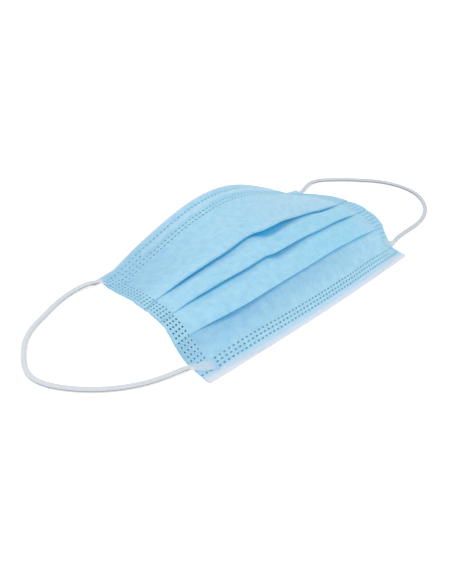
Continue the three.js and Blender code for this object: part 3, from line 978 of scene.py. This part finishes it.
def spline(points, spacing):
    """A smooth curve through points, evenly spaced along its length."""
    points = np.asarray(points, float)
    padded = np.vstack([2 * points[0] - points[1], points, 2 * points[-1] - points[-2]])
    curve = []
    for k in range(1, len(padded) - 2):
        p0, p1, p2, p3 = padded[k - 1:k + 3]
        knots = [0.0]
        for a, b in ((p0, p1), (p1, p2), (p2, p3)):
            knots.append(knots[-1] + np.linalg.norm(b - a) ** 0.5)
        t0, t1, t2, t3 = knots
        for t in np.linspace(t1, t2, 24, endpoint=False):
            a1 = (t1 - t) / (t1 - t0) * p0 + (t - t0) / (t1 - t0) * p1
            a2 = (t2 - t) / (t2 - t1) * p1 + (t - t1) / (t2 - t1) * p2
            a3 = (t3 - t) / (t3 - t2) * p2 + (t - t2) / (t3 - t2) * p3
            b1 = (t2 - t) / (t2 - t0) * a1 + (t - t0) / (t2 - t0) * a2
            b2 = (t3 - t) / (t3 - t1) * a2 + (t - t1) / (t3 - t1) * a3
            curve.append((t2 - t) / (t2 - t1) * b1 + (t - t1) / (t2 - t1) * b2)
    curve.append(points[-1])
    curve = np.array(curve)
    run = np.concatenate([[0], np.cumsum(np.linalg.norm(np.diff(curve, axis=0), axis=1))])
    even = np.linspace(0, run[-1], int(run[-1] / spacing) + 1)
    return np.stack([np.interp(even, run, curve[:, i]) for i in range(3)], axis=1), run[-1]


def ear_loop(name, side, route):
    """An elastic cord, knitted round, slightly flat and resting on the surface."""
    first, first_way = weld_exit(side, False)
    last, last_way = weld_exit(side, True)
    bends = [np.array(point, float) for point in route]
    points = [first, first + first_way * CORD_LEAD, *bends, last + last_way * CORD_LEAD, last]
    curve, length = spline(points, CORD_SPACING)
    run = np.gradient(curve, axis=0)
    run /= np.linalg.norm(run, axis=1)[:, None]
    up = np.array([0.0, 0.0, 1.0])
    rings, shades = [], []
    for k, (centre, forward) in enumerate(zip(curve, run)):
        aside = np.cross(forward, up)
        aside /= np.linalg.norm(aside)
        over = np.cross(aside, forward)
        along = k * CORD_SPACING
        for j in range(CORD_SIDES):
            angle = 2 * math.pi * j / CORD_SIDES
            wale = math.cos(STITCHES_ROUND * angle + 2 * math.pi * along / STITCH_TWIST)
            stitch = 1 + STITCH_RELIEF * wale * math.cos(2 * math.pi * along / STITCH_PITCH)
            a = CORD_WIDTH / 2 * stitch * math.cos(angle)
            b = CORD_THICKNESS / 2 * stitch * math.sin(angle)
            point = centre + aside * a + over * b
            point[2] = max(point[2], 0.05)
            rings.append(point)
            # Painted shade: darker on the cord's underside and along two grooves of the knit, and the right
            # loop greyer all over
            from_top = abs((math.degrees(angle) + 90) % 360 - 180)
            groove = KNIT_GROOVE_PAINTED_SHADE * math.exp(-(((from_top - KNIT_GROOVE) / KNIT_GROOVE_WIDTH) ** 2))
            shades.append(max(CORD_PAINTED_SHADE[side] + groove, smoothstep(from_top, *PAINTED_UNDERSIDE_SHADE)))
    faces = []
    count = len(curve)
    for k in range(count - 1):
        for j in range(CORD_SIDES):
            a, b = k * CORD_SIDES + j, k * CORD_SIDES + (j + 1) % CORD_SIDES
            faces.append((a, a + CORD_SIDES, b + CORD_SIDES, b))
    faces.append(tuple(range(CORD_SIDES)))
    faces.append(tuple(reversed(range((count - 1) * CORD_SIDES, count * CORD_SIDES))))
    uvs = [(k * CORD_SPACING, j * 0.4) for k in range(count) for j in range(CORD_SIDES)]
    obj = make_object(name, to_frame(rings), faces, uvs, tint=shades)
    obj.data.materials.append(elastic)
    return obj, to_frame(curve), length * MM


def nose_wire(name):
    """The flat coated wire between the two plies."""
    tops, bottoms, coords = [], [], []
    for share in np.linspace(-1, 1, 60) * (WIRE_LENGTH / MASK_LENGTH):
        section = Section(share)
        v = np.linspace(-1, 1, 7)
        distances = section.length - WIRE_INSET + v * WIRE_WIDTH / 2
        dome = 0.5 * (WIRE_THICKNESS - 0.25) * np.sqrt(np.clip(1 - v ** 6, 0, 1))
        middle = cloth_centre(section) + WIRE_THICKNESS / 2
        tops.append(section.place(distances, middle + dome))
        bottoms.append(section.place(distances, middle - dome - 0.02))
        coords.append(np.stack([np.full(7, share * HALF), distances], axis=1))
    obj = wall(name, np.array(tops), np.array(bottoms), np.array(coords))
    obj.data.materials.append(wire_coating)
    return obj


# Stage

def make_stage():
    bpy.ops.mesh.primitive_plane_add(size=6, location=(0, 0, 0))
    floor = bpy.context.object
    floor.name = "floor"
    material, tree, shader = new_material("pale_floor")
    shader.inputs["Base Color"].default_value = (0.93, 0.93, 0.93, 1)
    shader.inputs["Roughness"].default_value = 0.9
    shader.inputs["Emission Color"].default_value = (1, 1, 1, 1)
    shader.inputs["Emission Strength"].default_value = 0.45
    floor.data.materials.append(material)


def area_light(name, place, size, power):
    """A round light that faces the mask."""
    data = bpy.data.lights.new(name, "AREA")
    data.shape = "DISK"
    data.size = size
    data.energy = power
    light = bpy.data.objects.new(name, data)
    bpy.context.scene.collection.objects.link(light)
    light.location = place
    light.rotation_euler = (-Vector(place)).to_track_quat("-Z", "Y").to_euler()


def make_lights():
    world = bpy.data.worlds.new("studio")
    world.use_nodes = True
    tree = world.node_tree
    background = tree.nodes["Background"]
    background.inputs["Color"].default_value = (1, 1, 1, 1)
    seen = node(tree, "ShaderNodeLightPath")
    strength = node(tree, "ShaderNodeMath", operation="MULTIPLY_ADD")
    strength.inputs[1].default_value = 1 - ROOM_LIGHT
    strength.inputs[2].default_value = ROOM_LIGHT
    tree.links.new(seen.outputs["Is Camera Ray"], strength.inputs[0])
    tree.links.new(strength.outputs["Value"], background.inputs["Strength"])
    bpy.context.scene.world = world
    area_light("key", (-0.35, 0.1, 0.7), size=0.35, power=1.4)
    area_light("fill", (0.5, -0.4, 0.6), size=0.6, power=0.6)


def make_camera():
    turn, dip, roll = (math.radians(a) for a in (CAMERA_TURN, CAMERA_DIP, CAMERA_ROLL))
    forward = np.array([-math.sin(turn) * math.cos(dip), math.cos(turn) * math.cos(dip), math.sin(dip)])
    right = np.array([math.cos(turn), math.sin(turn), 0])
    up = np.cross(right, forward)
    right, up = math.cos(roll) * right + math.sin(roll) * up, -math.sin(roll) * right + math.cos(roll) * up
    data = bpy.data.cameras.new("camera")
    data.sensor_fit = "VERTICAL"
    data.sensor_height = SENSOR
    data.lens = FOCAL_PIXELS / PHOTO_HEIGHT * SENSOR
    data.clip_start = 0.01
    camera = bpy.data.objects.new("camera", data)
    bpy.context.scene.collection.objects.link(camera)
    matrix = Matrix.Identity(4)
    for row in range(3):
        matrix[row][0], matrix[row][1], matrix[row][2] = right[row], up[row], -forward[row]
        matrix[row][3] = (CAMERA_PLACE[row] + FRAME_SHIFT[row]) * MM
    camera.matrix_world = matrix
    bpy.context.scene.camera = camera


# The scene

make_camera()
loops = {}
for side, side_name, route in ((-1, "left", LEFT_ROUTE), (1, "right", RIGHT_ROUTE)):
    loop, path, length = ear_loop(f"ear_loop_{side_name}_knit", side, route)
    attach(loop, "root")
    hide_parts(f"ear_loop_{side_name}")

outer = ply("outer_ply", station_shares(OUTER_STATIONS), cloth_path,
            PLY_GAP / 2 + PLY_WALL, PLY_GAP / 2, outer_paleness)
outer.data.materials.append(blue_cloth)
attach(outer, "root")
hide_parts("outer_layer")

inner = ply("inner_ply", station_shares(INNER_STATIONS), inner_path,
            PLY_WALL / 2, -PLY_WALL / 2, inner_paleness)
inner.data.materials.append(white_cloth)
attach(inner, "root")
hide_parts("inner_layer")

cloth_ground = Ground(outer, inner)
stamped_ends = []
for loop_end in LOOP_ENDS:
    flat_end = weld_end(loop_end, cloth_ground)
    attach(flat_end, "root")
    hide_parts(loop_end["node"])
    if loop_end["stamped"]:
        stamped_ends.append(flat_end)

marks = make_marks(Ground(outer, inner, *stamped_ends))
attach(marks, "root")

wire = nose_wire("nose_wire_coated")
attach(wire, "root")
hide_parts("nose_wire")

make_stage()
make_lights()
bpy.context.scene.view_settings.view_transform = "Standard"

bpy.context.view_layer.update()
